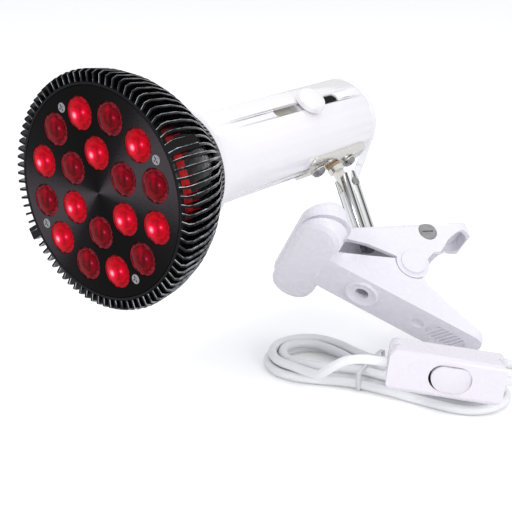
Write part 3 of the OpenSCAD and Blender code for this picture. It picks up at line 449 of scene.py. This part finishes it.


# Each look of a lens: its body from the middle out, then its larger and its smaller spot, both
# painted highlights.
# A spot is the place on the lens (-1 to 1), its squeeze and its colours from its middle out.
BLACK = (0, 0, 0)
LENS_LOOKS = {
    "lens_red": {
        "body": ((0.0, (0.60, 0.0, 0.012)), (0.35, (0.30, 0.0, 0.004)),
                 (0.62, (0.52, 0.0, 0.008)), (0.82, (0.20, 0.0, 0.002)),
                 (0.94, (0.40, 0.004, 0.012)), (1.0, (0.03, 0.0, 0.0))),
        "spots": (((-0.34, -0.16, 1.0), ((0.0, (1.0, 0.80, 0.86)), (0.09, (1.0, 0.30, 0.42)),
                                         (0.24, (0.42, 0.0, 0.03)), (0.5, BLACK))),
                  ((0.40, 0.12, 1.0), ((0.0, (0.9, 0.16, 0.25)), (0.10, (0.35, 0.0, 0.03)),
                                       (0.26, BLACK)))),
        "base": (0.06, 0.0, 0.002, 1)},
    "lens_dark": {
        # painted glow: the unlit lenses emit their dark red, their rings and a lighter line near
        # the rim
        "body": ((0.0, (0.17, 0.0, 0.003)), (0.30, (0.05, 0.0, 0.001)),
                 (0.58, (0.20, 0.0, 0.004)), (0.80, (0.04, 0.0, 0.001)),
                 (0.93, (0.24, 0.012, 0.022)), (1.0, (0.01, 0.0, 0.0))),
        "spots": (((0.40, 0.12, 1.0), ((0.0, (0.55, 0.06, 0.12)), (0.08, (0.16, 0.0, 0.02)),
                                       (0.2, BLACK))),
                  ((-0.05, 0.45, 0.6), ((0.0, (0.22, 0.0, 0.012)), (0.28, BLACK)))),
        "base": (0.02, 0.0, 0.001, 1)},
}


def lens_material(name):
    """A lens over its emitter, with painted highlights in its emission. UV is the place on the
    lens, 0.5 at its middle and 1 at its edge.
    """
    look = LENS_LOOKS[name]
    n = Nodes(name)
    uv = n.add("ShaderNodeUVMap", uv_map="UVMap").outputs[0]
    sep = n.add("ShaderNodeSeparateXYZ")
    n.link(uv, sep.inputs[0])
    u = n.math("MULTIPLY_ADD", sep.outputs["X"], 2.0, -1.0)
    v = n.math("MULTIPLY_ADD", sep.outputs["Y"], 2.0, -1.0)

    def distance(x, y, squeeze=1.0):
        a = n.math("SUBTRACT", u, x)
        b = n.math("MULTIPLY", n.math("SUBTRACT", v, y), squeeze)
        return n.math("SQRT", n.math("ADD", n.math("MULTIPLY", a, a), n.math("MULTIPLY", b, b)))

    bent = n.math("MULTIPLY", n.noise(3.2, 3, 0.6, uv), 9.0)
    arcs = n.math("SINE", n.math("ADD", n.math("MULTIPLY", distance(0.32, 0.05), 15.0), bent))
    petals = n.spread(n.noise(5, 4, 0.65, uv), -0.13, 0.13)
    shade = n.math("ADD", n.math("MULTIPLY", arcs, 0.07), petals)
    colour = n.ramp(n.math("ADD", distance(0, 0), shade), *look["body"])
    # painted highlights: each spot adds a bright patch to the emission
    for place, stops in look["spots"]:
        colour = n.plus(colour, n.ramp(distance(*place), *stops))
    n.to(colour, "Emission Color")
    n.set(Base_Color=look["base"], Emission_Strength=1.0, Roughness=0.12, Coat_Weight=0.0,
          IOR=1.3, Specular_IOR_Level=0.12)
    n.bump(n.noise(400, 2, 0.5), 0.00003, 0.2)
    return n.mat


M = {
    "plate_grey": plate_material(),
    "sink_black": sink_material(),
    "lens_red": lens_material("lens_red"),
    "lens_dark": lens_material("lens_dark"),
    "screw_steel": metal("screw_steel", (0.30, 0.30, 0.31), 0.3, (40, 40, 40)),
    "cup_black": plastic("cup_black", (0.02, 0.02, 0.02), (0.012, 0.012, 0.012), 0.5),
    "emitter_yellow": plastic("emitter_yellow", (0.7, 0.55, 0.14), (0.6, 0.45, 0.1), 0.5),
    "board_white": plastic("board_white", (0.78, 0.78, 0.76), (0.7, 0.7, 0.69), 0.35),
    "neck_white": plastic("neck_white", (0.82, 0.81, 0.82), (0.78, 0.77, 0.79), 0.3, 0.3),
    "board_green": plastic("board_green", (0.02, 0.2, 0.07), (0.015, 0.14, 0.05), 0.4),
    "cap_nickel": metal("cap_nickel", (0.66, 0.64, 0.6), 0.2, (50, 300, 50)),
    "cap_black": plastic("cap_black", (0.02, 0.02, 0.025), (0.014, 0.014, 0.018), 0.2),
    "socket_white": plastic("socket_white", (0.76, 0.73, 0.66), (0.7, 0.67, 0.6), 0.45),
    "contact_brass": metal("contact_brass", (0.68, 0.46, 0.18), 0.28),
    "slider_white": plastic("slider_white", (0.84, 0.83, 0.84), (0.80, 0.79, 0.81), 0.26, 0.4),
    "tube_white": plastic("tube_white", (0.86, 0.845, 0.86), (0.84, 0.815, 0.845), 0.22, 0.6),
    "sleeve_white": plastic("sleeve_white", (0.76, 0.76, 0.77), (0.7, 0.7, 0.72), 0.5),
    "hinge_nickel": metal("hinge_nickel", (0.74, 0.72, 0.68), 0.24, (40, 160, 40)),
    "nut_tan": plastic("nut_tan", (0.42, 0.30, 0.2), (0.34, 0.24, 0.15), 0.55),
    "barrel_chrome": barrel_material(),
    "clamp_white": plastic("clamp_white", (0.79, 0.775, 0.825), (0.775, 0.76, 0.81), 0.27, 0.3),
    "spring_steel": metal("spring_steel", (0.42, 0.42, 0.43), 0.25),
    "pad_white": plastic("pad_white", (0.66, 0.655, 0.68), (0.6, 0.595, 0.62), 0.6,
                         grain=0.00008, grain_scale=600, bump=0.4),
    "switch_white": plastic("switch_white", (0.74, 0.705, 0.755), (0.725, 0.69, 0.74), 0.28, 0.2),
    "cord_white": plastic("cord_white", (0.86, 0.87, 0.875), (0.82, 0.83, 0.84), 0.36, 0.15,
                          grain=0.00006, grain_scale=500, bump=0.25),
    "tie_white": plastic("tie_white", (0.80, 0.79, 0.81), (0.74, 0.73, 0.76), 0.4),
    "plug_white": plastic("plug_white", (0.80, 0.79, 0.80), (0.76, 0.75, 0.77), 0.3, 0.3),
    "pin_nickel": metal("pin_nickel", (0.66, 0.64, 0.6), 0.18, (300, 60, 60)),
}
SLOTS = {s["node"]: s["material_slot"] for s in frame["record"]["subparts"]}
for name, obj in nodes.items():
    obj.data.materials.clear()
    obj.data.materials.append(M[SLOTS[name]])


def dress(obj, slot, body, *replaced):
    """Gives a piece its material and slot, the nodes it replaces and the body it rides on."""
    obj.data.materials.clear()
    obj.data.materials.append(M[slot])
    if replaced:
        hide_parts(*replaced)
    if body:
        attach(obj, body)
    return obj


# ---------------------------------------------------------------- cords
LAMP_STEPS, MAINS_STEPS = 6, 5      # curve points for each leg of a route
SPLIT = LAMP_STEPS * 7              # the lamp cord is two pieces, parted at the start of leg 8
lamp_pts = smooth(LAMP_ROUTE, LAMP_STEPS)
upper_pts, lower_pts = lamp_pts[:SPLIT + 1], lamp_pts[SPLIT:]
upper = dress(tube("cord_lamp_upper", upper_pts, CORD_R), "cord_white", None, "cord_lamp")
lower = dress(tube("cord_lamp_lower", lower_pts, CORD_R), "cord_white", None, "cord_lamp")
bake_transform(upper)
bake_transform(lower)
mains_pts = smooth(LINK_ROUTE[:-1] + HANK_PTS + PLUG_ROUTE[1:], MAINS_STEPS)
mains = dress(tube("cord_mains", mains_pts, CORD_R), "cord_white", "clamp",
              "cord_link", "cord_hank", "cord_plug")

TIE_CORNER = 0.0022
CORNER_STEPS, CORNER_STEP = 6, 15   # steps round each corner of the tie, and their degrees


def band(name, width, thick, slot):
    """The tie: a thin band with round corners about the waist of the hank."""
    low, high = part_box("cord_tie")
    turn = math.radians(HANK["turn"])
    along = Vector((math.cos(turn), math.sin(turn), 0))
    across = Vector((-math.sin(turn), math.cos(turn), 0))
    mid = (low + high) / 2
    reach = [(v.co - mid).dot(across) for v in nodes["cord_tie"].data.vertices]
    near, far = min(reach) + thick, max(reach) - thick
    bottom, top = low.z + thick / 2, high.z - thick / 2
    corner = TIE_CORNER
    path = []
    for a0, cx, cz in ((180, near + corner, bottom + corner), (270, far - corner, bottom + corner),
                       (0, far - corner, top - corner), (90, near + corner, top - corner)):
        for k in range(CORNER_STEPS + 1):
            a = math.radians(a0 + CORNER_STEP * k)
            path.append((cx + corner * math.cos(a), cz + corner * math.sin(a)))
    cu, cz = (near + far) / 2, (bottom + top) / 2
    verts, faces = [], []
    for u, z in path:
        normal = Vector((u - cu, z - cz)).normalized()
        for w, t in ((-1, -1), (1, -1), (1, 1), (-1, 1)):
            p = mid + across * (u + normal.x * thick / 2 * t) + along * (width / 2 * w)
            p.z = z + normal.y * thick / 2 * t
            verts.append(p)
    count = len(path)
    for i in range(count):
        for k in range(4):
            a, b = i * 4 + k, i * 4 + (k + 1) % 4
            c, d = ((i + 1) % count) * 4 + (k + 1) % 4, ((i + 1) % count) * 4 + k
            faces.append((a, d, c, b))
    return dress(new_object(name, verts, faces), slot, "clamp", "cord_tie")


tie = band("tie_band", 0.0023, 0.00045, "tie_white")


# ---------------------------------------------------------------- lenses, in mm
FACE_ANGLE = -105.66                # degrees of the first lens
OUTER_RING, OUTER_COUNT = 40.3, 12
INNER_RING, INNER_COUNT = 20.4, 6
LENS_SIDES = 48
LENS_R = 8.6
LENS_PROFILE = ((0, -0.95), (1.6, -0.92), (3.2, -0.80), (4.7, -0.58), (6.0, -0.28), (7.0, 0.04),
                (7.7, 0.30), (7.95, 0.42), (8.15, 0.30), (8.4, 0.12), (8.56, 0.25),
                (LENS_R, 0.6), (LENS_R, 2.0))   # radius, distance behind the face
WELD_DIST = 1e-7                    # metres
spots = [(OUTER_RING, FACE_ANGLE + 360 / OUTER_COUNT * i, i % 2 == 0) for i in range(OUTER_COUNT)]
spots += [(INNER_RING, FACE_ANGLE + (360 / OUTER_COUNT) / 2 + 360 / INNER_COUNT * i, i % 2 == 0)
          for i in range(INNER_COUNT)]


def lens_mesh(name, lit):
    """Domed lenses with a thin lip, one form turned about each place."""
    verts, faces, uvs = [], [], []
    for ring, angle, on in spots:
        if on != lit:
            continue
        a = math.radians(angle)
        cx, cz = ring * math.cos(a), -ring * math.sin(a)
        first = len(verts)
        for r, y in LENS_PROFILE:
            for k in range(LENS_SIDES):
                t = 2 * math.pi * k / LENS_SIDES
                x, z = r * math.cos(t), r * math.sin(t)
                verts.append(Vector(((cx + x) * MM + TUBE_AXIS.x, y * MM + FACE_Y,
                                     (cz + z) * MM + TUBE_AXIS.z)))
                uvs.append((0.5 + 0.5 * x / LENS_R, 0.5 + 0.5 * z / LENS_R))
        for i in range(len(LENS_PROFILE) - 1):
            for k in range(LENS_SIDES):
                p = first + i * LENS_SIDES + k
                q = first + i * LENS_SIDES + (k + 1) % LENS_SIDES
                faces.append((p, q, q + LENS_SIDES, p + LENS_SIDES))
    obj = new_object(name, verts, faces, uvs)
    bm = bmesh.new()
    bm.from_mesh(obj.data)
    bmesh.ops.remove_doubles(bm, verts=bm.verts, dist=WELD_DIST)
    bmesh.ops.recalc_face_normals(bm, faces=bm.faces)
    bm.to_mesh(obj.data)
    bm.free()
    return obj


dress(lens_mesh("lens_domes_lit", True), "lens_red", "bulb", "lenses_lit")
dress(lens_mesh("lens_domes_dark", False), "lens_dark", "bulb", "lenses_clear")

# ---------------------------------------------------------------- soft edges on the mouldings
SOFT_EDGES = {"clamp_upper": 0.0007, "clamp_lower": 0.0007, "switch_front": 0.0006,
              "switch_back": 0.0006, "tube_cap": 0.0009, "plug_body": 0.0015,
              "hinge_plate": 0.00025, "swivel_barrel": 0.0003, "switch_rocker": 0.0005,
              "lamp_tube": 0.0002, "heat_sink": 0.00012}
for name, width in SOFT_EDGES.items():
    obj = nodes[name]
    weld = obj.modifiers.new("weld", "WELD")
    weld.merge_threshold = 1e-6
    soft = obj.modifiers.new("soft", "BEVEL")
    soft.width, soft.segments = width, 2
    soft.limit_method, soft.angle_limit = "ANGLE", math.radians(40)
    soft.harden_normals = True

# ---------------------------------------------------------------- floor, lights, background
FLOOR_HALF = 3.0
FLOOR_GLOW = 0.22       # seen by the camera alone, so that the floor is white around the object
corners = [(x * FLOOR_HALF, y * FLOOR_HALF, FLOOR * MM)
           for x, y in ((-1, -1), (1, -1), (1, 1), (-1, 1))]
floor_mesh = bpy.data.meshes.new("floor")
floor_mesh.from_pydata(corners, [], [(0, 1, 2, 3)])
floor_obj = bpy.data.objects.new("floor", floor_mesh)
bpy.context.scene.collection.objects.link(floor_obj)
paper = Nodes("paper")
paper.set(Base_Color=(0.93, 0.93, 0.93, 1), Roughness=0.9, Emission_Color=(1, 1, 1, 1))
seen = paper.add("ShaderNodeLightPath").outputs["Is Camera Ray"]
paper.to(paper.math("MULTIPLY", seen, FLOOR_GLOW), "Emission Strength")
paper.bump(paper.noise(300, 3, 0.5), 0.0001, 0.1)
floor_obj.data.materials.append(paper.mat)


def lamp(name, place, size, power):
    """A round area lamp that points at the origin."""
    data = bpy.data.lights.new(name, "AREA")
    data.shape, data.size, data.energy = "DISK", size, power
    obj = bpy.data.objects.new(name, data)
    bpy.context.scene.collection.objects.link(obj)
    obj.location = place
    obj.rotation_mode = "QUATERNION"
    obj.rotation_quaternion = (-Vector(place)).to_track_quat("-Z", "Y")


lamp("key", (-0.25, -0.95, 0.75), 0.5, 5.0)
lamp("fill", (1.1, -0.45, 0.45), 0.6, 4.5)
lamp("top", (0.1, 0.5, 1.2), 0.7, 2.5)

# The world lights the object, and is white to the camera, in reflections and through glass
WORLD_LIGHT, WORLD_STRENGTH = (0.93, 0.94, 1.0, 1), 0.78
world = bpy.data.worlds.new("studio")
bpy.context.scene.world = world
world.use_nodes = True
wt = world.node_tree
wt.nodes.clear()


def background(colour, strength):
    node = wt.nodes.new("ShaderNodeBackground")
    node.inputs["Color"].default_value = colour
    node.inputs["Strength"].default_value = strength
    return node.outputs[0]


def either(a, b):
    node = wt.nodes.new("ShaderNodeMath")
    node.operation, node.use_clamp = "ADD", True
    wt.links.new(a, node.inputs[0])
    wt.links.new(b, node.inputs[1])
    return node.outputs[0]


rays = wt.nodes.new("ShaderNodeLightPath").outputs
mix = wt.nodes.new("ShaderNodeMixShader")
wt.links.new(either(either(rays["Is Camera Ray"], rays["Is Glossy Ray"]),
                    rays["Is Transmission Ray"]), mix.inputs[0])
wt.links.new(background(WORLD_LIGHT, WORLD_STRENGTH), mix.inputs[1])
wt.links.new(background((1, 1, 1, 1), 1.0), mix.inputs[2])
wt.links.new(mix.outputs[0], wt.nodes.new("ShaderNodeOutputWorld").inputs["Surface"])
bpy.context.scene.view_settings.view_transform = "Standard"
